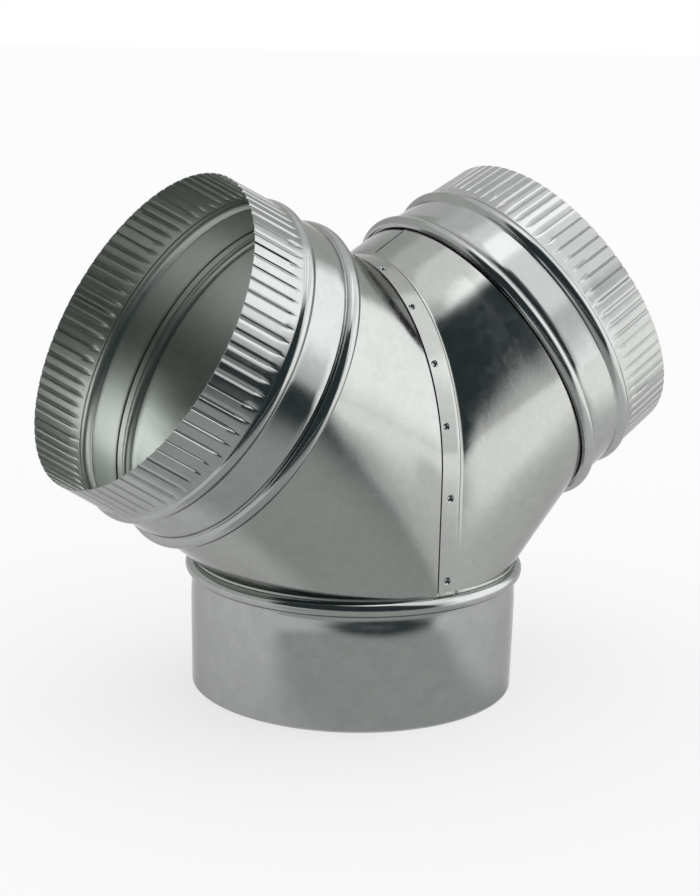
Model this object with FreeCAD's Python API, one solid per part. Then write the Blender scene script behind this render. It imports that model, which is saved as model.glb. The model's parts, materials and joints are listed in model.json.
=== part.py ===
import FreeCAD, Part
import os
from math import atan2, cos, radians, sin, sqrt, tan

from FreeCAD import Placement, Rotation, Vector

# Sheet steel Y branch for round duct, in millimetres and degrees. The base collar stands on its rim at the
# origin with its axis along +Z, and the two branches lean out along +X and -X.

# Duct and sheet
duct_bore = 203.2            # inside diameter of the plain collars, the nominal size of the fitting
sheet = 0.40                 # thickness of the sheet that every piece is formed from
sleeve_clearance = 0.05      # radial gap between a gore's sleeve and the collar around it

# Layout of the three ducts
branch_angle = 60.0          # between a branch axis and the vertical
junction_height = 148.5      # where the three axes meet
base_collar_length = 76.2    # from the base rim up to the crest of the base lock ring
branch_ring_distance = 101.2 # from the junction to the crest of a branch lock ring
branch_collar_length = 71.0  # from that crest to the crimped rim

# Lock rings, which hold a bead of the gore inside the half round end of a collar
ring_radius = 4.8            # outside radius of the half round section
ring_lip_gap = 1.1           # radial gap under the ring's free lip
ring_nest_gap = 0.25         # between the ring and the gore's bead inside it
ring_neck = 1.2              # straight neck of the gore beside the lip
sleeve_overlap = 3.2         # how far the gore's sleeve runs on into the collar

# Stop bead of a branch collar
bead_crimp_gap = 1.8         # plain wall between the bead and the run-out of the crimp grooves
bead_width = 8.4
bead_height = 2.4

# Crimped end of a branch collar
crimp_count = 80
crimp_length = 26.0          # straight part of the grooves, from the rim
crimp_fade = 7.0             # length over which the grooves run out into the plain wall
crimp_depth = 1.1
crimp_groove_width = 1.9
slip_clearance = 0.30        # radial gap between the crimped end and the bore that takes it

# Lap seam between the gores
lap_width = 8.5              # width of the right gore's flange over the left gore
lap_clearance = 0.05         # gap under that flange
lap_joggle = 2.4             # length over which the right gore steps out to the flange
lap_foot_gap = 1.0           # from the base ring's neck up to the end of the flange
seam_gap = 0.10              # between the gores' cut edges

# Punched dimples that hold the lap
arch_dimple_angles = (14.0, 33.0, 52.0, 71.0)  # around a branch, from the crotch
leg_dimple_foot = 7.0        # from the flange's foot to the lowest dimple
leg_dimple_pitch = 50.0
leg_dimple_count = 2
dimple_radius = 1.9
dimple_floor_radius = 0.9
dimple_depth = 1.1
dimple_wall = 0.3            # thickness of the stretched sheet round a dimple

# Radii that follow from those sizes
collar_inside = duct_bore / 2
collar_outside = collar_inside + sheet
gore_outside = collar_inside - sleeve_clearance
gore_inside = gore_outside - sheet
lap_inside = gore_outside + lap_clearance
lap_outside = lap_inside + sheet
crimp_outside = collar_inside - slip_clearance
crimp_inside = crimp_outside - sheet
nested_radius = ring_radius - sheet - ring_nest_gap

# Places that follow from them
crimp_foot = branch_collar_length - crimp_length - crimp_fade
bead_distance = crimp_foot - bead_crimp_gap - bead_width / 2
neck_length = ring_radius + ring_neck
gore_foot = base_collar_length + neck_length
gore_reach = branch_ring_distance - neck_length
lap_foot = gore_foot + lap_foot_gap
lean = radians(branch_angle)
origin = Vector(0, 0, 0)
up = Vector(0, 0, 1)
across = Vector(0, 1, 0)
junction = Vector(0, 0, junction_height)
branch_direction = Vector(sin(lean), 0, cos(lean))
crotch_direction = Vector(-cos(lean), 0, sin(lean))
gore_mouth = junction + branch_direction * gore_reach

# A collar is drawn with its ring's crest at zero, the gore below and its rim above.
base_placement = Placement(Vector(0, 0, base_collar_length), Rotation(Vector(1, 0, 0), 180))
branch_placement = Placement(
    junction + branch_direction * branch_ring_distance, Rotation(Vector(0, 1, 0), branch_angle))
half_turn = Rotation(up, 180)


def section_point(radius, height):
    return Vector(radius, 0, height)


def closed_wire(start, *steps):
    """Wire from the start point through the steps: an end point, or an arc's middle and end points."""
    edges = []
    at = start
    for step in steps:
        if isinstance(step, tuple):
            edges.append(Part.Arc(at, step[0], step[1]).toShape())
            at = step[1]
        else:
            edges.append(Part.makeLine(at, step))
            at = step
    edges.append(Part.makeLine(at, start))
    return Part.Wire(edges)


def revolved(wire, angle=360.0):
    return Part.Face(wire).revolve(origin, up, angle)


def placed(shape, placement):
    moved = shape.copy()
    moved.Placement = placement.multiply(moved.Placement)
    return moved


def turned_about_up(shape):
    return placed(shape, Placement(origin, half_turn))


def single_solid(shape):
    """The one solid of a fused shape, with the seams between its parts removed."""
    return shape.removeSplitter().Solids[0]


def chord_height(radius, offset):
    """Half of a chord that lies at the offset from the centre of a circle."""
    return sqrt(radius ** 2 - offset ** 2)


def bead_steps():
    """Outline steps over the bead, outside from the rim to the ring and inside on the way back."""
    half_width = bead_width / 2
    outer_radius = (half_width ** 2 + bead_height ** 2) / (2 * bead_height)
    inner_radius = outer_radius - sheet
    inner_half = chord_height(inner_radius, outer_radius - bead_height - sheet)
    inner_half = min(inner_half, half_width)
    outside = (
        section_point(collar_outside, bead_distance + half_width),
        (section_point(collar_outside + bead_height, bead_distance),
         section_point(collar_outside, bead_distance - half_width)),
    )
    inside = (
        section_point(collar_inside, bead_distance - inner_half),
        (section_point(collar_inside + bead_height, bead_distance),
         section_point(collar_inside, bead_distance + inner_half)),
    )
    return outside, inside


def collar_wall(end, beaded):
    """Turned wall of a collar, from its lock ring's lip to the end height."""
    lip_radius = gore_outside + ring_lip_gap
    lip_rise = lip_radius - collar_inside
    inner_ring = ring_radius - sheet
    outside, inside = bead_steps() if beaded else ((), ())
    return revolved(closed_wire(
        section_point(collar_inside, end),
        section_point(collar_outside, end),
        *outside,
        section_point(collar_outside, chord_height(ring_radius, sheet)),
        (section_point(collar_inside + ring_radius, 0),
         section_point(lip_radius, -chord_height(ring_radius, lip_rise))),
        section_point(lip_radius, -chord_height(inner_ring, lip_rise)),
        (section_point(collar_inside + inner_ring, 0), section_point(collar_inside, inner_ring)),
        *inside,
    ))


def crimp_edges(land_radius, groove_radius, half_width, height):
    """Edges of one turn of the crimped outline: a land's arc, then the two flanks of a groove."""
    pitch = 2 * radians(180) / crimp_count
    half_groove = half_width / land_radius

    def at(radius, angle):
        return Vector(radius * cos(angle), radius * sin(angle), height)

    edges = []
    for index in range(crimp_count):
        start = index * pitch
        land_from = start + half_groove
        land_to = start + pitch - half_groove
        land = Part.Arc(
            at(land_radius, land_from), at(land_radius, start + pitch / 2), at(land_radius, land_to))
        floor = at(groove_radius, start + pitch)
        edges.append(land.toShape())
        edges.append(Part.makeLine(at(land_radius, land_to), floor))
        edges.append(Part.makeLine(floor, at(land_radius, land_from + pitch)))
    return edges


def plain_edges(radius, half_width, height):
    """A circle cut into the same edges as the crimped outline."""
    pitch = 2 * radians(180) / crimp_count
    half_groove = half_width / radius

    def at(angle):
        return Vector(radius * cos(angle), radius * sin(angle), height)

    def arc(begin, finish):
        return Part.Arc(at(begin), at((begin + finish) / 2), at(finish)).toShape()

    edges = []
    for index in range(crimp_count):
        start = index * pitch
        edges.append(arc(start + half_groove, start + pitch - half_groove))
        edges.append(arc(start + pitch - half_groove, start + pitch))
        edges.append(arc(start + pitch, start + pitch + half_groove))
    return edges


def crimped_end():
    """Corrugated end of a branch collar, with grooves that fade out into the plain wall."""
    rim = branch_collar_length
    full = rim - crimp_length
    outer_half = crimp_groove_width / 2
    flank = atan2(crimp_depth, outer_half)
    inner_half = outer_half + sheet * tan(flank / 2)
    outer_floor = crimp_outside - crimp_depth
    inner_floor = outer_floor - sheet / cos(flank)
    faces = []
    caps = {crimp_foot: [], rim: []}
    for land, floor, half, wall in (
            (crimp_outside, outer_floor, outer_half, collar_outside),
            (crimp_inside, inner_floor, inner_half, collar_inside)):
        foot_row = plain_edges(wall, half, crimp_foot)
        full_row = crimp_edges(land, floor, half, full)
        faces.extend(Part.makeRuledSurface(a, b) for a, b in zip(foot_row, full_row))
        faces.extend(edge.extrude(up * crimp_length) for edge in full_row)
        caps[crimp_foot].append(Part.Wire(foot_row))
        caps[rim].append(Part.Wire(crimp_edges(land, floor, half, rim)))
    for outer, inner in caps.values():
        faces.append(Part.makeFace([outer, inner], "Part::FaceMakerBullseye"))
    shell = Part.Shell(faces)
    shell.sewShape()
    solid = Part.Solid(shell)
    if solid.Volume < 0:
        solid.reverse()
    return solid


def make_branch_collar():
    collar = collar_wall(crimp_foot, beaded=True).fuse(crimped_end())
    return placed(single_solid(collar), branch_placement)


def gore_sleeve(angle):
    """Turned end of a gore: its neck, the bead inside the lock ring and the sleeve inside the collar."""
    inner_bead = nested_radius - sheet
    outer_half = chord_height(nested_radius, sheet)
    end = nested_radius + sleeve_overlap
    return revolved(closed_wire(
        section_point(gore_inside, -neck_length),
        section_point(gore_inside, -inner_bead),
        (section_point(gore_inside + inner_bead, 0), section_point(gore_inside, inner_bead)),
        section_point(gore_inside, end),
        section_point(gore_outside, end),
        section_point(gore_outside, outer_half),
        (section_point(gore_inside + nested_radius, 0), section_point(gore_outside, -outer_half)),
        section_point(gore_outside, -neck_length),
    ), angle)


def half_annulus(centre, middle_direction):
    """Sheet section round the half circle that faces the direction, between the two sides of the branch."""
    def at(radius, side):
        return centre + side * radius

    return closed_wire(
        at(gore_outside, -across),
        (at(gore_outside, middle_direction), at(gore_outside, across)),
        at(gore_inside, across),
        (at(gore_inside, middle_direction), at(gore_inside, -across)),
    )


def right_of_seam(shape, size=1000.0):
    """The part of a shape on the +X side of the seam plane."""
    return shape.common(Part.makeBox(size, size, size, Vector(0, -size / 2, -size / 2)))


def gore_panels():
    """Sheet of the right gore: crotch cylinder, flat side triangles and the heel between the two rings."""
    crotch = Part.Face(half_annulus(gore_mouth, crotch_direction))
    run_past_seam = gore_reach + 2 * collar_outside
    crotch = right_of_seam(crotch.extrude(branch_direction * -run_past_seam))

    foot_section = half_annulus(Vector(0, 0, gore_foot), Vector(1, 0, 0))
    mouth_section = half_annulus(gore_mouth, crotch_direction * -1)
    heel = Part.makeLoft([foot_section, mouth_section], True, True)

    triangle = Part.Face(Part.makePolygon([
        Vector(0, gore_inside, gore_foot),
        junction + across * gore_inside,
        gore_mouth + across * gore_inside,
        Vector(0, gore_inside, gore_foot),
    ]))
    side = triangle.extrude(across * sheet)
    return [crotch, heel, side, side.mirror(origin, across)]


def plain_gore():
    """Right gore without its lap flange."""
    branch_sleeve = placed(gore_sleeve(360.0), branch_placement)
    half_sleeve = placed(gore_sleeve(180.0), Placement(origin, Rotation(up, -90)))
    base_sleeve = placed(half_sleeve, base_placement)
    panels = gore_panels()
    return panels[0].fuse(panels[1:] + [branch_sleeve, base_sleeve])


def seam_outline(x, inside, outside):
    """Arch of sheet in the plane at x, from one foot of the lap over the crotch to the other foot."""
    height = junction_height + abs(x) / tan(lean)

    def arch(radius):
        centre = Vector(x, 0, height)
        ellipse = Part.Ellipse(centre + up * (radius / sin(lean)), centre + across * radius, centre)
        return Part.ArcOfEllipse(ellipse, radians(-90), radians(90)).toShape()

    def leg(radius, side):
        return Part.makeLine(Vector(x, side * radius, lap_foot), Vector(x, side * radius, height))

    def foot(side):
        return Part.makeLine(Vector(x, side * inside, lap_foot), Vector(x, side * outside, lap_foot))

    return Part.Wire(Part.__sortEdges__([
        leg(outside, -1), arch(outside), leg(outside, 1), foot(1),
        leg(inside, 1), arch(inside), leg(inside, -1), foot(-1),
    ]))


def lap_flange():
    """Flange over the left gore, with the short joggle that joins it to the right gore's sheet."""
    middle = gore_outside - sheet / 2
    dive = gore_outside - sheet / 4
    flange = Part.makeLoft([
        seam_outline(0, lap_inside, lap_outside),
        seam_outline(-lap_width, lap_inside, lap_outside),
    ], True, True)
    joggle = Part.makeLoft([
        seam_outline(0, middle, lap_outside),
        seam_outline(lap_joggle, middle, dive),
    ], True, True)
    return [flange, joggle]


def dimple_places():
    """Point on the left gore's outside and outward direction of each dimple, along the middle of the lap."""
    left_direction = Vector(-sin(lean), 0, cos(lean))
    left_crotch = Vector(cos(lean), 0, sin(lean))
    places = []
    for side in (-1, 1):
        for angle in arch_dimple_angles:
            outward = left_crotch * cos(radians(angle)) + across * (side * sin(radians(angle)))
            run = (lap_width / 2 + gore_outside * outward.x) / sin(lean)
            places.append((junction + left_direction * run + outward * gore_outside, outward))
        for index in range(leg_dimple_count):
            height = lap_foot + leg_dimple_foot + index * leg_dimple_pitch
            places.append((Vector(-lap_width / 2, side * gore_outside, height), across * side))
    return places


def dimple_cone(place, top, floor, widening):
    """Tapered plug of a dimple between two heights over the left gore's outside, grown by the widening."""
    point, outward = place
    slope = (dimple_radius - dimple_floor_radius) / dimple_depth
    mouth = lap_clearance + sheet
    top_radius = dimple_radius + widening + slope * (top - mouth)
    floor_radius = top_radius - slope * (top - floor)
    return Part.makeCone(top_radius, floor_radius, top - floor, point + outward * top, outward * -1)


def punch_lap(right, left):
    """Presses the dimples through the flange and into the gore under it."""
    mouth = lap_clearance + sheet
    floor = mouth - dimple_depth
    right_floor = floor - dimple_wall
    left_floor = right_floor - lap_clearance - dimple_wall
    left_widening = dimple_wall + lap_clearance
    for place in dimple_places():
        right = right.fuse(dimple_cone(place, mouth - sheet / 2, right_floor, dimple_wall))
        right = right.cut(dimple_cone(place, mouth + sheet, floor, 0))
        left = left.fuse(dimple_cone(place, -sheet / 2, left_floor, left_widening + dimple_wall))
        left = left.cut(dimple_cone(place, mouth, right_floor - lap_clearance, left_widening))
    return right.Solids[0], left.Solids[0]


def make_gores():
    shell = plain_gore()
    size = 1000.0
    beyond_seam = Part.makeBox(size, size, size, Vector(-seam_gap, -size / 2, -size / 2))
    left = single_solid(turned_about_up(shell).cut(beyond_seam))
    right = single_solid(shell.fuse(lap_flange()))
    return punch_lap(right, left)


def make_parts():
    base_collar = placed(collar_wall(base_collar_length, beaded=False), base_placement)
    right_collar = make_branch_collar()
    right_gore, left_gore = make_gores()
    return {
        "base_collar": base_collar,
        "right_gore": right_gore,
        "left_gore": left_gore,
        "right_collar": right_collar,
        "left_collar": turned_about_up(right_collar),
    }


os.makedirs("parts", exist_ok=True)
for name, shape in make_parts().items():
    shape.exportStep(f"parts/{name}.step")
    print(name, "valid" if shape.isValid() else "invalid", f"{shape.Volume:.0f} mm3", len(shape.Faces), "faces")
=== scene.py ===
import json
import math

import bpy
import numpy as np
from mathutils import Matrix, Quaternion, Vector

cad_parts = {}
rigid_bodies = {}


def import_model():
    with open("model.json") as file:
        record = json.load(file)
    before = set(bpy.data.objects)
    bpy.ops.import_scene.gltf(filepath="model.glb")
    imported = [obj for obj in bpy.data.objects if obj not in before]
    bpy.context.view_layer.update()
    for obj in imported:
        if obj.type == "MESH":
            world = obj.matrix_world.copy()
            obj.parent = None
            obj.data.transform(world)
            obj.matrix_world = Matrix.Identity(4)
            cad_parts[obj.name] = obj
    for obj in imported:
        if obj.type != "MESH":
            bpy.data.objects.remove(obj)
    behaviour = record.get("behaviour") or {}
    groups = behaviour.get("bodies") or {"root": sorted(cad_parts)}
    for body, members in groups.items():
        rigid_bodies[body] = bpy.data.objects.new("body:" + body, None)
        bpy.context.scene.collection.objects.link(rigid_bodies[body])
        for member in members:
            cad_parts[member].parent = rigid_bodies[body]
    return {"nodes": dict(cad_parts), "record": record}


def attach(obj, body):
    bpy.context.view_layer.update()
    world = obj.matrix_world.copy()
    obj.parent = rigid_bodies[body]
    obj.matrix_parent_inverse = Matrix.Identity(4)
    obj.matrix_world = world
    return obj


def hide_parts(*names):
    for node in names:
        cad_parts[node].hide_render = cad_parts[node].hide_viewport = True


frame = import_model()

# the start-up scene's own things are not part of the fitting
for leftover in [o for o in bpy.data.objects if o.name in ("Cube", "Light", "Camera")]:
    bpy.data.objects.remove(leftover)
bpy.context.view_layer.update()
print("frame loaded:", len(frame["nodes"]), "sheet pieces")

mm = 0.001
mounts = {m["name"]: m for m in frame["record"]["mounts"]}

# the fitting's shared sizes, in millimetres and degrees
fitting = {
    "collarInside": mounts["inlet"]["dims"]["r_mm"],
    "crimpLength": mounts["right_outlet"]["dims"]["length_mm"],
    "sheet": 0.40,
    "sleeveClearance": 0.05,
    "lean": 60.0,             # branch axis from the vertical
    "junctionHeight": 148.5,  # where the three axes meet
    "baseLength": 76.2,       # base rim to the crest of its lock ring
    "ringDistance": 101.2,    # junction to the crest of a branch lock ring
    "branchLength": 71.0,     # that crest to the crimped rim
    "ringRadius": 4.8,
    "ringLipGap": 1.1,
    "ringNestGap": 0.25,
    "ringNeck": 1.2,
    "sleeveOverlap": 3.2,
}
collarInside = fitting["collarInside"]
collarOutside = collarInside + fitting["sheet"]
goreOutside = collarInside - fitting["sleeveClearance"]
lean = math.radians(fitting["lean"])
neckLength = fitting["ringRadius"] + fitting["ringNeck"]
goreFoot = fitting["baseLength"] + neckLength
goreReach = fitting["ringDistance"] - neckLength
branchAxis = np.array([math.sin(lean), 0, math.cos(lean)])
crotchAxis = np.array([-math.cos(lean), 0, math.sin(lean)])
junction = np.array([0, 0, fitting["junctionHeight"]])


# a socket that can stand in a sum; node() adds any other node
class Wire:
    def __init__(self, tree, socket=None):
        self.tree = tree
        self.socket = socket

    def node(self, kind, settings=None, inputs=None, out=0):
        made = self.tree.nodes.new(kind)
        for name, value in (settings or {}).items():
            setattr(made, name, value)
        for name, value in (inputs or {}).items():
            if isinstance(value, Wire):
                self.tree.links.new(value.socket, made.inputs[name])
            else:
                made.inputs[name].default_value = value
        return Wire(self.tree, made.outputs[out] if len(made.outputs) else None)

    def output(self, name):
        return Wire(self.tree, self.socket.node.outputs[name])

    def sum(self, operation, first, second=0.0):
        return self.node("ShaderNodeMath", {"operation": operation}, {0: first, 1: second})

    def __add__(self, other):
        return self.sum("ADD", self, other)

    def __sub__(self, other):
        return self.sum("SUBTRACT", self, other)

    def __rsub__(self, other):
        return self.sum("SUBTRACT", other, self)

    def __mul__(self, other):
        return self.sum("MULTIPLY", self, other)

    def __truediv__(self, other):
        return self.sum("DIVIDE", self, other)

    def __abs__(self):
        return self.sum("ABSOLUTE", self)

    __radd__ = __add__


def easedStep(value, low, high):
    return value.node("ShaderNodeMapRange", {"interpolation_type": "SMOOTHSTEP"},
                      {"Value": value, "From Min": low, "From Max": high})


# what the clouds and the fine grain of every zinc finish have in common
zincNoise = {
    "cloud": {"Detail": 4.0, "Roughness": 0.6},
    "fine": {"Detail": 3.0, "Roughness": 0.65},
}


# galvanised sheet: cloudy zinc, a faint spangle and a fine grain
def zincSteel(name, look):
    material = bpy.data.materials.new(name)
    material.use_nodes = True
    tree = material.node_tree
    tree.nodes.clear()
    start = Wire(tree)
    place = start.node("ShaderNodeTexCoord", out="Object")
    cloud = start.node("ShaderNodeTexNoise", {}, {
        "Vector": place, "Scale": look["cloudScale"], **zincNoise["cloud"]})
    fine = start.node("ShaderNodeTexNoise", {}, {
        "Vector": place, "Scale": look["fineScale"], **zincNoise["fine"]})
    bloom = start.node("ShaderNodeTexVoronoi", {"feature": "F1"}, {
        "Vector": place, "Scale": look["spangleScale"], "Randomness": 1.0}, out="Color")
    flake = start.node("ShaderNodeSeparateColor", {}, {"Color": bloom})
    middle = 0.5
    cloudy = cloud - middle
    spangled = flake - middle
    tone = cloudy * look["cloudTone"] + spangled * look["spangleTone"]
    tone = tone + (fine - middle) * look["fineTone"]
    mixed = start.node("ShaderNodeMix", {"data_type": "RGBA", "clamp_factor": True}, {
        0: tone + middle, 6: (*look["dark"], 1), 7: (*look["light"], 1)}, out=2)
    rough = look["roughness"] + cloudy * look["cloudRough"] + spangled * look["spangleRough"]
    height = cloud * look["cloudBump"] + fine * look["fineBump"]
    bump = start.node("ShaderNodeBump", {}, {
        "Height": height, "Strength": 1.0, "Distance": mm})
    shader = start.node("ShaderNodeBsdfPrincipled", {}, {
        "Base Color": mixed, "Roughness": rough, "Metallic": 1.0, "Normal": bump,
        "Specular Tint": (*look["edge"], 1)})
    start.node("ShaderNodeOutputMaterial", {}, {"Surface": shader})
    return material


collarLook = {
    "dark": (0.33, 0.34, 0.332), "light": (0.43, 0.44, 0.432), "edge": (0.7, 0.7, 0.7),
    "roughness": 0.13, "cloudScale": 28.0, "fineScale": 420.0, "spangleScale": 130.0,
    "cloudTone": 0.5, "spangleTone": 0.25, "fineTone": 0.35,
    "cloudRough": 0.08, "spangleRough": 0.03, "cloudBump": 0.06, "fineBump": 0.006,
}
goreLook = {
    "dark": (0.315, 0.325, 0.312), "light": (0.41, 0.42, 0.408), "edge": (0.7, 0.7, 0.7),
    "roughness": 0.12, "cloudScale": 22.0, "fineScale": 380.0, "spangleScale": 190.0,
    "cloudTone": 0.5, "spangleTone": 0.2, "fineTone": 0.45,
    "cloudRough": 0.06, "spangleRough": 0.04, "cloudBump": 0.10, "fineBump": 0.012,
}
# the inside of the sheet was never rubbed, so it stays duller; it is also painted lighter than the
# outside, a painted lift of the shade inside the pipe
insideLightenedLook = {
    **collarLook, "dark": (0.345, 0.372, 0.348), "light": (0.46, 0.49, 0.463), "roughness": 0.36,
}
collarSteel = zincSteel("galvanisedCollar", collarLook)
goreSteel = zincSteel("galvanisedGore", goreLook)
insideSteel = zincSteel("galvanisedInside", insideLightenedLook)
print("finishes made")


def eased(value, low, high):
    share = np.clip((value - low) / (high - low), 0, 1)
    return share * share * (3 - 2 * share)


def arcRun(centre, radius, start, stop, steps):
    turns = np.radians(np.linspace(start, stop, steps + 1))
    return [(centre[0] + radius * math.cos(a), centre[1] + radius * math.sin(a)) for a in turns]


def lineRun(start, stop, pitch):
    steps = max(1, round(math.dist(start, stop) / pitch))
    return [tuple(p) for p in np.linspace(start, stop, steps + 1)]


# one path out of several runs, with a short bend in place of each corner between them
def bentPath(runs, reach, steps=4):
    path = list(runs[0])
    for run in runs[1:]:
        corner = np.array(path[-1])
        while len(path) > 1 and math.dist(path[-1], corner) < reach:
            path.pop()
        rest = [p for p in run if math.dist(p, corner) >= reach]
        before, after = (corner + (np.array(p) - corner) * min(1, reach / math.dist(p, corner))
                         for p in (path[-1], rest[0]))
        for t in np.linspace(0, 1, steps + 1):
            path.append(tuple(before * (1 - t) ** 2 + corner * 2 * t * (1 - t) + after * t ** 2))
        path.extend(rest)
    return path


def meshObject(name, points, faces, material):
    mesh = bpy.data.meshes.new(name)
    mesh.from_pydata([tuple(p) for p in points], [], faces)
    mesh.materials.append(material)
    made = bpy.data.objects.new(name, mesh)
    bpy.context.scene.collection.objects.link(made)
    return made


def addAttribute(mesh, name, values):
    attribute = mesh.attributes.new(name, "FLOAT", "POINT")
    attribute.data.foreach_set("value", np.asarray(values, np.float32))


# evaluates the modifiers into a plain mesh on a new object that keeps the name
def settled(made, name):
    bpy.context.view_layer.update()
    shown = made.evaluated_get(bpy.context.evaluated_depsgraph_get())
    mesh = bpy.data.meshes.new_from_object(shown)
    bpy.data.objects.remove(made)
    mesh.name = name
    done = bpy.data.objects.new(name, mesh)
    bpy.context.scene.collection.objects.link(done)
    return done


def smoothFaces(made, sharpAngle=38.0):
    made.data.shade_smooth()
    made.data.set_sharp_from_angle(angle=math.radians(sharpAngle))


def standsFor(made, node):
    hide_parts(node)
    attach(made, "root")
    print(made.name, "stands for", node, "with", len(made.data.polygons), "faces")


# turned collars: the wall, the half round lock ring and, on a branch, the stop bead
collar = {
    "beadDistance": 32.0, "beadWidth": 8.4, "beadHeight": 2.4,
    "ringSteps": 18, "innerRingSteps": 8, "beadSteps": 14, "innerBeadSteps": 10,
    "bend": 0.8,         # how far a bend reaches to each side of its corner
    "innerBend": 0.8,    # and the share of it on the inside of the sheet
    "wallPitch": 2.8,    # between rows on the plain wall
    # the rolled wall leans in a little towards the bead and again towards the rim
    "branchLean": {"heights": (fitting["ringRadius"], 6.4, 27.4, 36.6, fitting["branchLength"]),
                   "steps": (0.0, 0.7, -0.9, 0.1, -1.7)},
}
# the floor's share is of half a groove, the shares of slip and foot are of the fade, and a draw is
# what is added to the seed
crimp = {
    "count": 80, "depth": 0.8, "grooveWidth": 2.0, "length": fitting["crimpLength"], "fade": 7.0,
    "slip": 0.2, "floorShare": 0.12, "slipShare": 0.6, "footShare": 0.75,
    "unevenness": 0.14, "seed": 7, "depthDraw": 0, "footDraw": 3,
    "grooveColumns": (-1.0, -0.7, -0.4, -0.15, 0.15, 0.4, 0.7), "landColumns": 3,
}


def collarPath(end, beaded):
    ring = fitting["ringRadius"]
    inner = ring - fitting["sheet"]
    lipRadius = goreOutside + fitting["ringLipGap"]
    lipRise = lipRadius - collarInside
    pitch = collar["wallPitch"]
    centre = (collarInside, 0)
    topTurn = math.degrees(math.acos(fitting["sheet"] / ring))
    outerLip = -math.degrees(math.acos(lipRise / ring))
    innerLip = -math.degrees(math.acos(lipRise / inner))
    outerRing = arcRun(centre, ring, topTurn, outerLip, collar["ringSteps"])
    innerRing = arcRun(centre, inner, innerLip, 90, collar["innerRingSteps"])
    outerRim = (collarOutside, end)
    innerRim = (collarInside, end)
    inside = [innerRing]
    if beaded:
        half = collar["beadWidth"] / 2
        outerArc = (half ** 2 + collar["beadHeight"] ** 2) / (2 * collar["beadHeight"])
        spread = math.degrees(math.asin(half / outerArc))
        low = collar["beadDistance"] - half
        high = collar["beadDistance"] + half
        centreRise = collar["beadHeight"] - outerArc
        outerCentre = (collarOutside + centreRise, collar["beadDistance"])
        innerCentre = (collarInside + centreRise, collar["beadDistance"])
        outerBead = arcRun(outerCentre, outerArc, spread, -spread, collar["beadSteps"])
        innerBead = arcRun(innerCentre, outerArc, -spread, spread, collar["innerBeadSteps"])
        outside = [lineRun(outerRim, (collarOutside, high), pitch), outerBead,
                   lineRun((collarOutside, low), outerRing[0], pitch)]
        inside += [lineRun(innerRing[-1], (collarInside, low), pitch), innerBead,
                   lineRun((collarInside, high), innerRim, pitch)]
    else:
        outside = [lineRun(outerRim, outerRing[0], pitch)]
        inside += [lineRun(innerRing[-1], innerRim, pitch)]
    outside.append(outerRing)
    bend = collar["bend"]
    paths = (bentPath(outside, bend), bentPath(inside, bend * collar["innerBend"]))
    if not beaded:
        return paths
    wallLean = collar["branchLean"]
    return tuple([(r + np.interp(h, wallLean["heights"], wallLean["steps"]), h) for r, h in path]
                 for path in paths)


# closed wall turned about +Z, with its turn, height and side of the sheet kept on every point
def turnedWall(name, outside, inside, turns, material):
    profile = np.array(outside + inside)
    rows = len(profile)
    columns = len(turns)
    angle = np.repeat(turns, rows)
    radius = np.tile(profile[:, 0], columns)
    height = np.tile(profile[:, 1], columns)
    points = np.stack([radius * np.cos(angle), radius * np.sin(angle), height], 1) * mm
    faces = []
    for c in range(columns):
        here = c * rows
        there = (c + 1) % columns * rows
        for r in range(rows):
            after = (r + 1) % rows
            faces.append((here + r, here + after, there + after, there + r))
    made = meshObject(name, points, faces, material)
    addAttribute(made.data, "turn", angle)
    addAttribute(made.data, "height", height)
    addAttribute(made.data, "inside", np.tile([0.0] * len(outside) + [1.0] * len(inside), columns))
    return made


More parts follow.
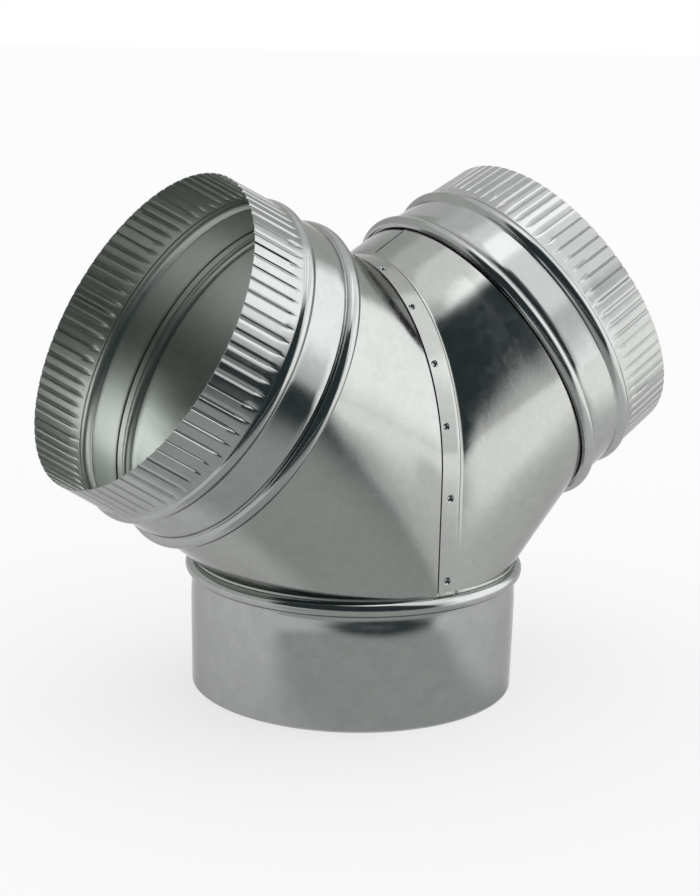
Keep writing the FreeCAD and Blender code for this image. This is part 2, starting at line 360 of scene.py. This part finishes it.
# Geometry Nodes tree that presses the grooves into the end of a collar
def crimpTree():
    tree = bpy.data.node_groups.new("crimpedEnd", "GeometryNodeTree")
    tree.interface.new_socket("Geometry", in_out="INPUT", socket_type="NodeSocketGeometry")
    for name in ("Count", "Depth", "Groove Width", "Radius", "Rim", "Length", "Fade", "Slip",
                 "Unevenness"):
        tree.interface.new_socket(name, in_out="INPUT", socket_type="NodeSocketFloat")
    tree.interface.new_socket("Seed", in_out="INPUT", socket_type="NodeSocketInt")
    tree.interface.new_socket("Material", in_out="INPUT", socket_type="NodeSocketMaterial")
    tree.interface.new_socket("Inside Material", in_out="INPUT", socket_type="NodeSocketMaterial")
    tree.interface.new_socket("Geometry", in_out="OUTPUT", socket_type="NodeSocketGeometry")
    start = Wire(tree)
    given = start.node("NodeGroupInput")
    inside, turn, height = (
        start.node("GeometryNodeInputNamedAttribute", {"data_type": "FLOAT"}, {"Name": name})
        for name in ("inside", "turn", "height"))
    count = given.output("Count")
    steps = turn * count / (2 * math.pi)
    index = start.sum("ROUND", steps)
    away = abs(steps - index) * (2 * math.pi) * given.output("Radius") / count

    # one value from -1 to 1 for every groove
    def chance(draw):
        return start.node("FunctionNodeRandomValue", {"data_type": "FLOAT"}, {
            2: -1.0, 3: 1.0, "ID": start.node("FunctionNodeFloatToInt", {}, {0: index}),
            "Seed": given.output("Seed") + draw}, out=1)

    uneven = given.output("Unevenness")
    depth = given.output("Depth") * (1 + uneven * chance(crimp["depthDraw"]))
    half = given.output("Groove Width") / 2
    groove = 1 - easedStep(away, half * crimp["floorShare"], half)
    full = given.output("Rim") - given.output("Length")
    fade = given.output("Fade")
    foot = full - fade
    swaged = easedStep(height, foot, foot + fade * crimp["slipShare"])
    shift = fade * uneven * chance(crimp["footDraw"])
    pressed = easedStep(height, foot + shift, foot + fade * crimp["footShare"] + shift)
    inward = (given.output("Slip") * swaged + depth * groove * pressed) * mm
    position = start.node("GeometryNodeInputPosition")
    radial = start.node("ShaderNodeVectorMath", {"operation": "MULTIPLY"}, {
        0: position, 1: (1, 1, 0)})
    outward = start.node("ShaderNodeVectorMath", {"operation": "NORMALIZE"}, {0: radial})
    moved = start.node("ShaderNodeVectorMath", {"operation": "SCALE"}, {
        0: outward, "Scale": 0 - inward})
    shaped = start.node("GeometryNodeSetPosition", {}, {
        "Geometry": given.output("Geometry"), "Offset": moved})
    real = start.node("GeometryNodeRealizeInstances", {}, {"Geometry": shaped})
    coated = start.node("GeometryNodeSetMaterial", {}, {
        "Geometry": real, "Material": given.output("Material")})
    # a face counts as inside when all its corners do
    allCorners = 0.9
    onlyInside = start.node("FunctionNodeCompare", {}, {0: inside, 1: allCorners})
    lined = start.node("GeometryNodeSetMaterial", {}, {
        "Geometry": coated, "Selection": onlyInside, "Material": given.output("Inside Material")})
    start.node("NodeGroupOutput", {}, {"Geometry": lined})
    return tree


def useTree(made, tree, values):
    modifier = made.modifiers.new(tree.name, "NODES")
    modifier.node_group = tree
    for item in tree.interface.items_tree:
        if item.in_out == "INPUT" and item.name in values:
            modifier[item.identifier] = values[item.name]


# columns crowd into each groove and spread out on the lands
def crimpTurns():
    pitch = 2 * math.pi * collarInside / crimp["count"]
    half = crimp["grooveWidth"] / 2
    inGroove = np.array(crimp["grooveColumns"]) * half
    onLand = np.linspace(half, pitch - half, crimp["landColumns"], endpoint=False)
    offsets = np.concatenate([inGroove, onLand])
    return np.concatenate([(k * pitch + offsets) / collarInside for k in range(crimp["count"])])


def branchFrame(side):
    ring = junction + branchAxis * fitting["ringDistance"]
    lift = Matrix.Translation(Vector(ring * mm)) @ Matrix.Rotation(lean, 4, "Y")
    return Matrix.Rotation(math.pi, 4, "Z") @ lift if side < 0 else lift


def makeBranchCollar(name, node, side, tree):
    end = fitting["branchLength"]
    outside, inside = collarPath(end, beaded=True)
    made = turnedWall(name, outside, inside, crimpTurns(), collarSteel)
    useTree(made, tree, {
        "Count": float(crimp["count"]), "Depth": crimp["depth"],
        "Groove Width": crimp["grooveWidth"], "Radius": collarInside,
        "Rim": end, "Length": crimp["length"], "Fade": crimp["fade"],
        "Slip": crimp["slip"], "Unevenness": crimp["unevenness"], "Seed": crimp["seed"] + side,
        "Material": collarSteel, "Inside Material": insideSteel})
    done = settled(made, name)
    done.data.transform(branchFrame(side))
    smoothFaces(done)
    standsFor(done, node)


grooves = crimpTree()
makeBranchCollar("rightCollarSteel", "right_collar", 1, grooves)
makeBranchCollar("leftCollarSteel", "left_collar", -1, grooves)

# the base wall swells a little below its ring, most of all at one side. Heights are below the ring,
# turns are from -Y towards +X
baseCollar = {
    "columns": 360,
    "swellHeights": (fitting["ringRadius"], 7.0, 10.0, 14.0, 18.0, 23.0, 40.0,
                     fitting["baseLength"]),
    "swellSteps": (0.0, 0.14, 0.6, 1.22, 1.6, 1.78, 1.45, 0.0),
    "swellTurn": -24.0, "swellWidth": 24.0, "swellLeast": 0.35,
}


def swellWall(mesh):
    points = np.array([v.co for v in mesh.vertices])
    radius = np.hypot(points[:, 0], points[:, 1])
    height = fitting["baseLength"] - points[:, 2] / mm
    turn = np.degrees(np.arctan2(points[:, 0], -points[:, 1]))
    least = baseCollar["swellLeast"]
    away = (turn - baseCollar["swellTurn"]) / baseCollar["swellWidth"]
    share = least + (1 - least) * np.exp(-away ** 2)
    step = np.interp(height, baseCollar["swellHeights"], baseCollar["swellSteps"]) * share
    points[:, :2] *= (1 + step * mm / radius)[:, None]
    mesh.vertices.foreach_set("co", points.ravel())


def makeBaseCollar():
    end = fitting["baseLength"]
    outside, inside = collarPath(end, beaded=False)
    turns = np.linspace(0, 2 * math.pi, baseCollar["columns"], endpoint=False)
    made = turnedWall("baseCollarSteel", outside, inside, turns, collarSteel)
    made.data.transform(Matrix.Translation((0, 0, end * mm)) @ Matrix.Rotation(math.pi, 4, "X"))
    swellWall(made.data)
    smoothFaces(made)
    standsFor(made, "base_collar")


makeBaseCollar()

# gores: the sheet of a branch from the seam band and the base ring to its mouth
gore = {
    "seamLand": 5.9,       # half width of the flat band across the valley between the gores
    "bandSteps": 8,
    "joggle": 2.4,         # length over which the right gore steps out to the lap
    "joggleSteps": 5,
    "lapClearance": 0.3,   # between the two sheets
    "lapDip": 0.9,         # how far the right gore's sheet sinks before it steps up to the lap
    "dipReach": 0.2,       # the share of its way to the mouth over which it does so
    "dipLeg": (0.3, 1.0),  # and the part of the straight leg over which the dip begins
    "lapFootGap": 1.0,     # between the band's foot and the gore's
    "sideSpread": 9.0,     # half of the mouth's turn that each flat side takes, in degrees
    "sideEase": 38.0,      # and the turn over which the round sheet gives way to it
    "footSpread": 14.0,    # what the round heel takes back of it next to the foot
    "heelEase": 72.0,      # over this turn
    "footRise": 0.6,       # and how far up the seam it does so, as a share of the straight leg
    "fullness": 0.25,      # how far the flat sides stand out
    "fullFrom": (90.0, 162.0),  # the heights over which that comes in
    "fullTo": (162.0, 235.0),   # and goes out
    "crotchColumns": 120, "sideColumns": 26, "heelColumns": 110,
    "wallRows": 40,
    "lapTurn": -1.0,       # where the edges of one gore's sheet lap along the crotch
    "lapStep": 0.5,        # how far the upper edge stands off there
    "lapEase": 14.0,       # the turn over which it settles down
    "lapEdge": 0.06,       # half of the turn that the step itself takes
    "lapClear": 0.3,       # turn to each side of it that is kept free of other columns
    "lapFade": (12, 16),   # how steeply it comes in from the seam and goes out at the mouth
    "wave": 0.16,          # springy unevenness of the sheet
    "waveFade": (4, 5),    # how steeply that comes in and goes out
    # the waves it is made of: radians per mm along X, Y and Z, start and strength
    "waves": ((0.075, 0.0, 0.052, 0.7, 1.0),
              (0.0, 0.083, -0.061, 0.0, 0.7),
              (0.13, 0.13, 0.0, 1.9, 0.5)),
    "foldReach": 34.0,     # how far the sheet is eased to each side of where a flat side begins
    "foldEase": 8.0,       # how far each point there looks to its neighbours
    "foldLeast": 0.01,     # and how far it does so at the seam and at the mouth
    "sleeveSteps": 10,
    "neckGap": 0.9,        # from the end of the wall to the row that rounds the neck
}
dimple = {
    "archAngles": (16.5, 36.5, 56.5, 75.0), "legFoot": 7.0, "legPitch": 50.0, "legCount": 2,
    "archShift": -2.4,   # how far the upper dimples lie to the left of the seam's middle
    "radius": 2.2, "floor": 0.8, "depth": 1.7,
    "fineReach": 2.6, "finePitch": 0.36,  # the finer mesh about each one
}


# even steps with finer ones close to each centre, less those that nearly meet the one before
def crowded(low, high, count, centres, reach, pitch, closest=0.3):
    steps = list(np.linspace(low, high, count + 1))
    for centre in centres:
        steps = [s for s in steps if abs(s - centre) > reach or s in (steps[0], steps[-1])]
        steps += list(np.arange(centre - reach, centre + reach + pitch / 2, pitch))
    steps = sorted(s for s in steps if low <= s <= high)
    apart = pitch * closest
    return np.array([s for i, s in enumerate(steps) if i == 0 or s - steps[i - 1] > apart])


def bandHeight(x):
    return fitting["junctionHeight"] + max(abs(x), gore["seamLand"]) / math.tan(lean)


# places along the seam: turns over the crotch, and shares of the straight leg at each end of it
def seamColumns():
    archReach = math.degrees(dimple["fineReach"] / goreOutside)
    archPitch = math.degrees(dimple["finePitch"] / goreOutside)
    angles = [s * a for s in (-1, 1) for a in dimple["archAngles"]]
    arch = crowded(-90, 90, gore["crotchColumns"], angles, archReach, archPitch)
    lap = [gore["lapTurn"] - gore["lapEdge"], gore["lapTurn"] + gore["lapEdge"]]
    apart = np.abs(arch - gore["lapTurn"]) > gore["lapClear"]
    arch = np.sort(np.concatenate([arch[apart], lap]))
    span = bandHeight(0) - goreFoot - gore["lapFootGap"]
    feet = [(dimple["legFoot"] + k * dimple["legPitch"]) / span for k in range(dimple["legCount"])]
    leg = crowded(0, 1, gore["sideColumns"], [f for f in feet if f < 1],
                  dimple["fineReach"] / span, dimple["finePitch"] / span)
    return arch, leg


archTurns, legShares = seamColumns()
legColumns = len(legShares) - 1
seamCount = 2 * legColumns + len(archTurns)


def sideFullness(height):
    share = eased(height, *gore["fullFrom"]) * (1 - eased(height, *gore["fullTo"]))
    return gore["fullness"] * share


# one line of points along the seam at x, lifted off the sheet by the offset
def seamLine(x, offset, foot):
    radius = goreOutside + offset
    height = bandHeight(x)
    turns = np.radians(archTurns)
    arch = np.stack([np.full_like(turns, x), radius * np.sin(turns),
                     height + radius / math.sin(lean) * np.cos(turns)], 1)
    rise = foot + (height - foot) * legShares[:-1]
    leg = np.stack([np.full_like(rise, x), np.full_like(rise, radius), rise], 1)
    near = leg * np.array([1, -1, 1])
    line = np.concatenate([near, arch, leg[::-1]])
    line[:, 1] *= 1 + sideFullness(line[:, 2]) / radius
    return line


# matching turns round the mouth for the seam line and then for the heel
def mouthLine():
    spread = gore["sideSpread"]
    footSpread = gore["footSpread"]

    # turn at the mouth for a turn from the middle of the crotch or of the heel
    def giveWay(turns, taken, ease):
        past = np.clip((np.abs(turns) - 90 + ease) / ease, 0, 1)
        return np.sign(turns) * (np.abs(turns) - taken * past ** 2)

    low = np.clip(1 - legShares[:-1] / gore["footRise"], 0, 1)
    side = 90 + spread * (1 - 2 * legShares[:-1]) + footSpread * low ** 2
    heelTurns = np.linspace(-90, 90, gore["heelColumns"] + 1)[1:-1]
    heel = 180 + giveWay(heelTurns, spread + footSpread, gore["heelEase"])
    arch = giveWay(archTurns, spread, gore["sideEase"])
    return np.radians(np.concatenate([-side, arch, side[::-1], heel]))


# turns round the base ring along the heel, from one foot of the seam to the other
def baseLine(x):
    first = math.degrees(math.asin(x / goreOutside))
    return np.radians(np.linspace(first, 180 - first, gore["heelColumns"] + 1)[1:-1])


def aroundMouth(turns, radius, along):
    turns = turns[:, None]
    across = np.array([0, 1, 0])
    outward = np.cos(turns) * crotchAxis + np.sin(turns) * across
    return junction + branchAxis * along + radius * outward


# rounded neck, nested bead and sleeve of a gore's end, as radius and distance past the ring crest
def sleeveSteps():
    nested = fitting["ringRadius"] - fitting["sheet"] - fitting["ringNestGap"]
    top = math.degrees(math.acos(fitting["sheet"] / nested))
    bead = arcRun((goreOutside - fitting["sheet"], 0), nested, -top, top, gore["sleeveSteps"])
    neck = [(goreOutside, gore["neckGap"] - neckLength)]
    return neck + bead + [(goreOutside, nested + fitting["sleeveOverlap"])]


# the lapping edge stands off the sheet below it and settles down to it over a wide turn
def lapStep(columns):
    step = np.zeros(columns)
    past = archTurns - gore["lapTurn"]
    lifted = np.where(past > 0, np.exp(-np.abs(past) / gore["lapEase"]), 0)
    step[legColumns:legColumns + len(archTurns)] = lifted * gore["lapStep"]
    return step


# how much of the dip beside the lap each column takes: none at the foot and along the heel
def dipShares(columns):
    leg = eased(legShares[:-1], *gore["dipLeg"])
    shares = np.concatenate([leg, np.ones(len(archTurns)), leg[::-1]])
    return np.concatenate([shares, np.zeros(columns - seamCount)])


# each point of a line moved away from the centre by its own step
def pushedOut(line, centre, steps):
    outward = line - centre
    outward /= np.linalg.norm(outward, axis=1)[:, None]
    return line + outward * steps[:, None]


def sheetWave(points):
    total = sum(strength * np.sin(points @ np.array(turns) + start)
                for *turns, start, strength in gore["waves"])
    return total * gore["wave"] / sum(wave[-1] for wave in gore["waves"])


def fadedEnds(share, rates):
    return min(1, rates[0] * share) * min(1, rates[1] * (1 - share))


# one row of the sheet, with the change from flat to round spread out about the fold columns
def easedFolds(line, folds, share):
    steps = np.linalg.norm(np.roll(line, -1, 0) - line, axis=1)
    place = np.concatenate([[0], np.cumsum(steps)[:-1]])
    apart = np.abs(place[:, None] - place[None, :])
    apart = np.minimum(apart, steps.sum() - apart)
    halfway = 4 * share * (1 - share)  # nothing at the seam and at the mouth, and 1 between them
    reach = gore["foldEase"] * halfway + gore["foldLeast"]
    weight = np.exp(-(apart / reach) ** 2 / 2) * (steps + np.roll(steps, 1))[None, :]
    mean = weight @ line / weight.sum(1)[:, None]
    near = np.max(np.exp(-(apart[:, folds] / gore["foldReach"]) ** 2), axis=1)
    return line + (mean - line) * near[:, None]


# rows of the wall from the seam and the heel to the mouth, and on through the branch ring. A seam
# row is its x, its offset and its dip beside the lap
def wallLines(seamRow, foot):
    x, offset, deepest = seamRow
    base = baseLine(x)
    heel = np.stack([goreOutside * np.sin(base), goreOutside * np.cos(base),
                     np.full_like(base, goreFoot)], 1)
    start = np.concatenate([seamLine(x, offset, foot), heel])
    mouth = mouthLine()
    end = aroundMouth(mouth, goreOutside, goreReach)
    folds = [0, legColumns, legColumns + len(archTurns) - 1, seamCount - 1]
    lap = lapStep(len(mouth))
    dips = dipShares(len(mouth)) * deepest
    lines = []
    for share in np.linspace(0, 1, gore["wallRows"] + 1):
        line = easedFolds(start * (1 - share) + end * share, folds, share)
        wave = sheetWave(line) * fadedEnds(share, gore["waveFade"])
        dip = dips * math.exp(-share / gore["dipReach"])
        steps = wave + lap * fadedEnds(share, gore["lapFade"]) - dip
        lines.append(pushedOut(line, junction + branchAxis * goreReach * share, steps))
    for radius, past in sleeveSteps():
        lines.append(aroundMouth(mouth, radius, fitting["ringDistance"] + past))
    return lines


# the seam band and lap, outward from the first wall row. Each of its rows has two feet, given back
# as their turn from the seam and their points
def addBand(points, faces, seamRows, foot):
    dips = dipShares(seamCount)
    above = list(range(seamCount))
    feet = []
    for x, offset, dip in reversed(seamRows):
        line = seamLine(x, offset, foot + gore["lapFootGap"])
        row = list(range(len(points), len(points) + seamCount))
        points.extend(pushedOut(line, junction, -dip * dips))
        for c in range(seamCount - 1):
            faces.append((above[c], above[c + 1], row[c + 1], row[c]))
        above = row
        feet.append((math.asin(x / goreOutside), row[0], row[-1]))
    return feet


# the half sleeve in the base ring, downward from the heel and the feet of the wall and of the band
def addHalfSleeve(points, faces, wallX, bandFeet):
    feet = [(math.asin(wallX / goreOutside), 0, seamCount - 1)] + bandFeet
    base = baseLine(wallX)
    heel = list(range(seamCount, seamCount + len(base)))
    above = [last for turn, first, last in feet[::-1]] + heel
    above += [first for turn, first, last in feet]
    footTurns = np.array([turn for turn, first, last in feet])
    turns = np.concatenate([footTurns[::-1], base, math.pi - footTurns])
    for radius, past in sleeveSteps():
        row = list(range(len(points), len(points) + len(turns)))
        points.extend(np.stack([radius * np.sin(turns), radius * np.cos(turns),
                                np.full_like(turns, fitting["baseLength"] - past)], 1))
        for c in range(len(turns) - 1):
            faces.append((row[c + 1], above[c + 1], above[c], row[c]))
        above = row


# footRows says how many rows of the band reach down into the base ring beside the wall
def goreSheet(name, seamRows, footRows, foot):
    lines = wallLines(seamRows[-1], foot)
    columns = len(lines[0])
    points = list(np.concatenate(lines))
    faces = []
    for here in range(0, (len(lines) - 1) * columns, columns):
        there = here + columns
        for c in range(columns):
            n = (c + 1) % columns
            faces.append((there + c, there + n, here + n, here + c))
    bandFeet = addBand(points, faces, seamRows[:-1], foot)
    addHalfSleeve(points, faces, seamRows[-1][0], bandFeet[:footRows])
    return meshObject(name, np.array(points) * mm, faces, goreSteel)


# Geometry Nodes tree that punches a dimple into the sheet at every marked point
def dimpleTree():
    tree = bpy.data.node_groups.new("punchedDimples", "GeometryNodeTree")
    tree.interface.new_socket("Geometry", in_out="INPUT", socket_type="NodeSocketGeometry")
    tree.interface.new_socket("Marks", in_out="INPUT", socket_type="NodeSocketObject")
    for name in ("Radius", "Floor Radius", "Depth"):
        tree.interface.new_socket(name, in_out="INPUT", socket_type="NodeSocketFloat")
    tree.interface.new_socket("Material", in_out="INPUT", socket_type="NodeSocketMaterial")
    tree.interface.new_socket("Geometry", in_out="OUTPUT", socket_type="NodeSocketGeometry")
    start = Wire(tree)
    given = start.node("NodeGroupInput")
    marks = start.node("GeometryNodeObjectInfo", {}, {
        "Object": given.output("Marks")}, out="Geometry")
    away = start.node("GeometryNodeProximity", {"target_element": "POINTS"}, {
        0: marks}, out="Distance")
    pressed = 1 - easedStep(away, given.output("Floor Radius") * mm, given.output("Radius") * mm)
    normal = start.node("GeometryNodeInputNormal")
    moved = start.node("ShaderNodeVectorMath", {"operation": "SCALE"}, {
        0: normal, "Scale": pressed * given.output("Depth") * -mm})
    shaped = start.node("GeometryNodeSetPosition", {}, {
        "Geometry": given.output("Geometry"), "Offset": moved})
    real = start.node("GeometryNodeRealizeInstances", {}, {"Geometry": shaped})
    coated = start.node("GeometryNodeSetMaterial", {}, {
        "Geometry": real, "Material": given.output("Material")})
    start.node("NodeGroupOutput", {}, {"Geometry": coated})
    return tree


def dimpleMarks(side, offset):
    radius = goreOutside + offset
    height = bandHeight(0)
    shift = side * dimple["archShift"]
    places = []
    for hand in (-1, 1):
        for angle in np.radians(dimple["archAngles"]):
            rise = height + radius / math.sin(lean) * math.cos(angle)
            reach = (radius + sideFullness(rise)) * math.sin(angle)
            places.append((shift, hand * reach, rise))
        for k in range(dimple["legCount"]):
            rise = goreFoot + gore["lapFootGap"] + dimple["legFoot"] + k * dimple["legPitch"]
            places.append((0, hand * (radius + sideFullness(rise)), rise))
    return meshObject("dimpleMarks", np.array(places) * mm, [], goreSteel)


def bandRows(side, offset):
    land = gore["seamLand"]
    centres = [0.0, side * dimple["archShift"]]
    places = crowded(-land, land, gore["bandSteps"], centres,
                     dimple["fineReach"], dimple["finePitch"])
    return [(x, offset, 0.0) for x in places]


def makeGore(name, node, side, seamRows, footRows, offset, tree):
    punched = goreSheet(name, seamRows, footRows, goreFoot)
    marks = dimpleMarks(side, offset)
    useTree(punched, tree, {
        "Marks": marks, "Radius": dimple["radius"], "Floor Radius": dimple["floor"],
        "Depth": dimple["depth"], "Material": goreSteel})
    made = settled(punched, name)
    bpy.data.objects.remove(marks)
    made.data.materials.append(insideSteel)
    wall = made.modifiers.new("thickness", "SOLIDIFY")
    wall.thickness = fitting["sheet"] * mm
    wall.offset = -1.0
    wall.material_offset = 1
    done = settled(made, name)
    if side < 0:
        done.data.transform(Matrix.Rotation(math.pi, 4, "Z"))
    smoothFaces(done)
    standsFor(done, node)


def makeGores():
    tree = dimpleTree()
    land = gore["seamLand"]
    lift = fitting["sheet"] + gore["lapClearance"]
    joggle = []
    for k in range(1, gore["joggleSteps"] + 1):
        along = k / gore["joggleSteps"]
        share = eased(along, 0, 1)
        joggle.append((land + gore["joggle"] * along, lift * (1 - share), gore["lapDip"] * share))
    overBand = bandRows(1, lift)
    underBand = bandRows(-1, 0.0)
    makeGore("rightGoreSheet", "right_gore", 1, overBand + joggle, len(joggle) - 1, lift, tree)
    makeGore("leftGoreSheet", "left_gore", -1, underBand, len(underBand) - 1, 0.0, tree)


makeGores()

# stage, light and camera
stage = {
    "floorSize": 60.0, "floorTone": 0.93, "floorGlow": 0.6, "worldTone": 1.0,
}


# glow that thins out to nothing where the card's cover does: a painted reflection, with no lamp
# behind it
def paintedReflectionGlow(name, tone):
    material = bpy.data.materials.new(name)
    material.use_nodes = True
    tree = material.node_tree
    tree.nodes.clear()
    start = Wire(tree)
    cover = start.node("ShaderNodeAttribute", {"attribute_name": "cover"}, out="Fac")
    clear = start.node("ShaderNodeBsdfTransparent")
    glow = start.node("ShaderNodeEmission", {}, {"Color": (*tone, 1), "Strength": 1.0})
    mixed = start.node("ShaderNodeMixShader", {}, {0: cover, 1: clear, 2: glow})
    start.node("ShaderNodeOutputMaterial", {}, {"Surface": mixed})
    return material


# pale floor that is white where nothing shades it, for the eye and in the metal alike
def paleFloor():
    material = bpy.data.materials.new("paleFloor")
    material.use_nodes = True
    tree = material.node_tree
    tree.nodes.clear()
    start = Wire(tree)
    ray = start.node("ShaderNodeLightPath", out="Is Camera Ray")
    seen = start.sum("MAXIMUM", ray, ray.output("Is Glossy Ray"))
    seen = start.sum("MAXIMUM", seen, ray.output("Is Transmission Ray"))
    tone = stage["floorTone"]
    paint = start.node("ShaderNodeBsdfDiffuse", {}, {"Color": (tone, tone, tone, 1)})
    glow = start.node("ShaderNodeEmission", {}, {"Color": (1, 1, 1, 1), "Strength": 1.0})
    mixed = start.node("ShaderNodeMixShader", {}, {
        0: seen * stage["floorGlow"], 1: paint, 2: glow})
    start.node("ShaderNodeOutputMaterial", {}, {"Surface": mixed})
    return material


def makeFloor():
    half = stage["floorSize"] / 2
    corners = [(-half, -half, 0), (half, -half, 0), (half, half, 0), (-half, half, 0)]
    floor = meshObject("floor", corners, [(0, 1, 2, 3)], paleFloor())


# soft cards that only the metal sees: painted reflections, bright ones for lamps and dark ones for
# the shaded room and floor, which light nothing. A dome card has azimuth from -Y towards +X and
# elevation in degrees, with the azimuths at its top where they differ. A table card has the corners
# of its near edge and then of its far edge, in metres. The soft widths are in the same units: at
# the first and last azimuth and then at the low and high elevation, or at the left and right side
# and then at the near and far edge.
domeCards = {
    # painted shade: a dark card seen only in the metal, for the dark room on the camera side
    "darkRoom": {"azimuth": (-92, 28.5), "topAzimuth": (-92, 14), "elevation": (0, 70),
                 "reach": 4.0, "soft": (10, 5, 0, 5), "tone": (0.045, 0.062, 0.068)},
    # painted reflections: sideLight, upperSide, topLight and topCap paint lamps, sideDim and
    # leftWall paint dimmer walls, all glowing only for the metal
    "sideLight": {"azimuth": (27, 102), "elevation": (0, 44), "reach": 4.2, "soft": (20, 10, 0, 6),
                  "tone": (2.05, 2.05, 2.05)},
    "upperSide": {"azimuth": (6, 110), "elevation": (30, 76), "reach": 4.25, "soft": (6, 12, 8, 4),
                  "tone": (1.6, 1.6, 1.6)},
    "sideDim": {"azimuth": (84, 150), "elevation": (0, 44), "reach": 4.4, "soft": (0, 10, 0, 6),
                "tone": (0.75, 0.76, 0.74)},
    "topLight": {"azimuth": (-25, 125), "elevation": (68, 89), "reach": 4.3, "soft": (18, 18, 5, 3),
                 "tone": (2.3, 2.3, 2.3)},
    "topCap": {"azimuth": (-180, 180), "elevation": (72, 90), "reach": 4.4, "soft": (0, 0, 6, 0),
               "tone": (1.45, 1.45, 1.45)},
    "leftWall": {"azimuth": (-200, -84), "elevation": (0, 58), "reach": 4.5, "soft": (8, 0, 0, 8),
                 "tone": (0.72, 0.73, 0.71)},
}
tableCards = {
    # painted shadow: the object's shade on the floor close around it, seen only in the metal
    "nearShade": {"near": ((-0.34, -0.03), (0.09, -0.03)), "far": ((-0.60, -0.70), (0.26, -0.70)),
                  "lift": 0.001, "soft": (0.09, 0.07, 0.06, 0.10), "tone": (0.57, 0.59, 0.575)},
    # painted shade: the dark front of the room beyond the floor, seen only in the metal
    "darkTable": {"near": ((-0.95, -0.27), (0.12, -0.27)), "far": ((-4.0, -1.1), (2.1, -4.0)),
                  "lift": 0.002, "soft": (0.10, 0.16, 0.50, 0.0), "tone": (0.046, 0.062, 0.066)},
    # painted highlight: a bright floor patch on the right, seen only in the metal
    "sideTable": {"near": ((0.15, -0.39), (0.48, 0.01)), "far": ((2.03, -3.6), (4.2, -0.1)),
                  "lift": 0.003, "soft": (0.11, 0.10, 0.38, 0.0), "tone": (1.75, 1.75, 1.7)},
}
cardSteps = 48
tableCrowding = 2.5


# how much of the card is there, from nothing at its edges to all of it past the soft widths
def cardCover(toFirst, toLast, toLow, toHigh, soft):
    cover = np.ones_like(toFirst)
    for distance, width in zip((toFirst, toLast, toLow, toHigh), soft):
        if width > 0:
            cover = cover * eased(distance, 0, width)
    return cover


def domeCard(card):
    steps = np.linspace(0, 1, cardSteps + 1)
    across, along = np.meshgrid(steps, steps)
    low, high = card["elevation"]
    rises = low + (high - low) * along
    top = card.get("topAzimuth", card["azimuth"])
    first = card["azimuth"][0] * (1 - along) + top[0] * along
    last = card["azimuth"][1] * (1 - along) + top[1] * along
    turns = first + (last - first) * across
    a = np.radians(turns)
    e = np.radians(rises)
    points = np.stack([np.sin(a) * np.cos(e), -np.cos(a) * np.cos(e), np.sin(e)], 2)
    cover = cardCover(turns - first, last - turns, rises - low, high - rises, card["soft"])
    return points * card["reach"], cover


# rows crowd towards the near edge, where the card thins out over a short way
def tableCard(card):
    steps = np.linspace(0, 1, cardSteps + 1)
    across, along = np.meshgrid(steps, steps ** tableCrowding)
    near = np.array(card["near"])
    far = np.array(card["far"])
    nearLine = near[0] + across[:, :, None] * (near[1] - near[0])
    farLine = far[0] + across[:, :, None] * (far[1] - far[0])
    flat = nearLine + along[:, :, None] * (farLine - nearLine)
    nearWidth = np.linalg.norm(near[1] - near[0])
    farWidth = np.linalg.norm(far[1] - far[0])
    width = nearWidth * (1 - along) + farWidth * along
    depth = np.linalg.norm(farLine - nearLine, axis=2)
    cover = cardCover(across * width, (1 - across) * width, along * depth, (1 - along) * depth,
                      card["soft"])
    return np.dstack([flat, np.full_like(across, card["lift"])]), cover


def makeCard(name, card, points, cover):
    row = cardSteps + 1
    faces = [(r * row + c, r * row + c + 1, (r + 1) * row + c + 1, (r + 1) * row + c)
             for r in range(cardSteps) for c in range(cardSteps)]
    made = meshObject(name, points.reshape(-1, 3), faces, paintedReflectionGlow(name + "Tone", card["tone"]))
    addAttribute(made.data, "cover", cover.ravel())
    # seen only in the metal as a painted reflection; it lights, shades and shadows nothing
    made.visible_camera = False
    made.visible_diffuse = False
    made.visible_shadow = False


def makePaintedReflections():
    for name, card in domeCards.items():
        makeCard(name, card, *domeCard(card))
    for name, card in tableCards.items():
        makeCard(name, card, *tableCard(card))


def makeWorld():
    world = bpy.data.worlds.new("paleRoom")
    world.use_nodes = True
    world.node_tree.nodes["Background"].inputs["Color"].default_value = (1, 1, 1, 1)
    world.node_tree.nodes["Background"].inputs["Strength"].default_value = stage["worldTone"]
    bpy.context.scene.world = world


view = {
    "azimuth": -32.827, "elevation": 14.284, "roll": 1.286,
    "target": (0, 0, 0.12258), "distance": 1.13545,
    "lens": 72.51, "sensor": 36.0, "shift": (-0.00559, 0.0461),
}


def makeCamera():
    data = bpy.data.cameras.new("viewpoint")
    data.sensor_width = view["sensor"]
    data.lens = view["lens"]
    data.shift_x, data.shift_y = view["shift"]
    camera = bpy.data.objects.new("viewpoint", data)
    turn = math.radians(view["azimuth"])
    rise = math.radians(view["elevation"])
    level = math.cos(rise)
    back = Vector((math.sin(turn) * level, -math.cos(turn) * level, math.sin(rise)))
    camera.location = Vector(view["target"]) + back * view["distance"]
    camera.rotation_mode = "QUATERNION"
    roll = Quaternion((0, 0, 1), math.radians(view["roll"]))
    camera.rotation_quaternion = (-back).to_track_quat("-Z", "Y") @ roll
    bpy.context.scene.collection.objects.link(camera)
    bpy.context.scene.camera = camera


makeFloor()
makePaintedReflections()
makeWorld()
makeCamera()
bpy.context.scene.view_settings.view_transform = "Standard"
print("stage, light and camera set")
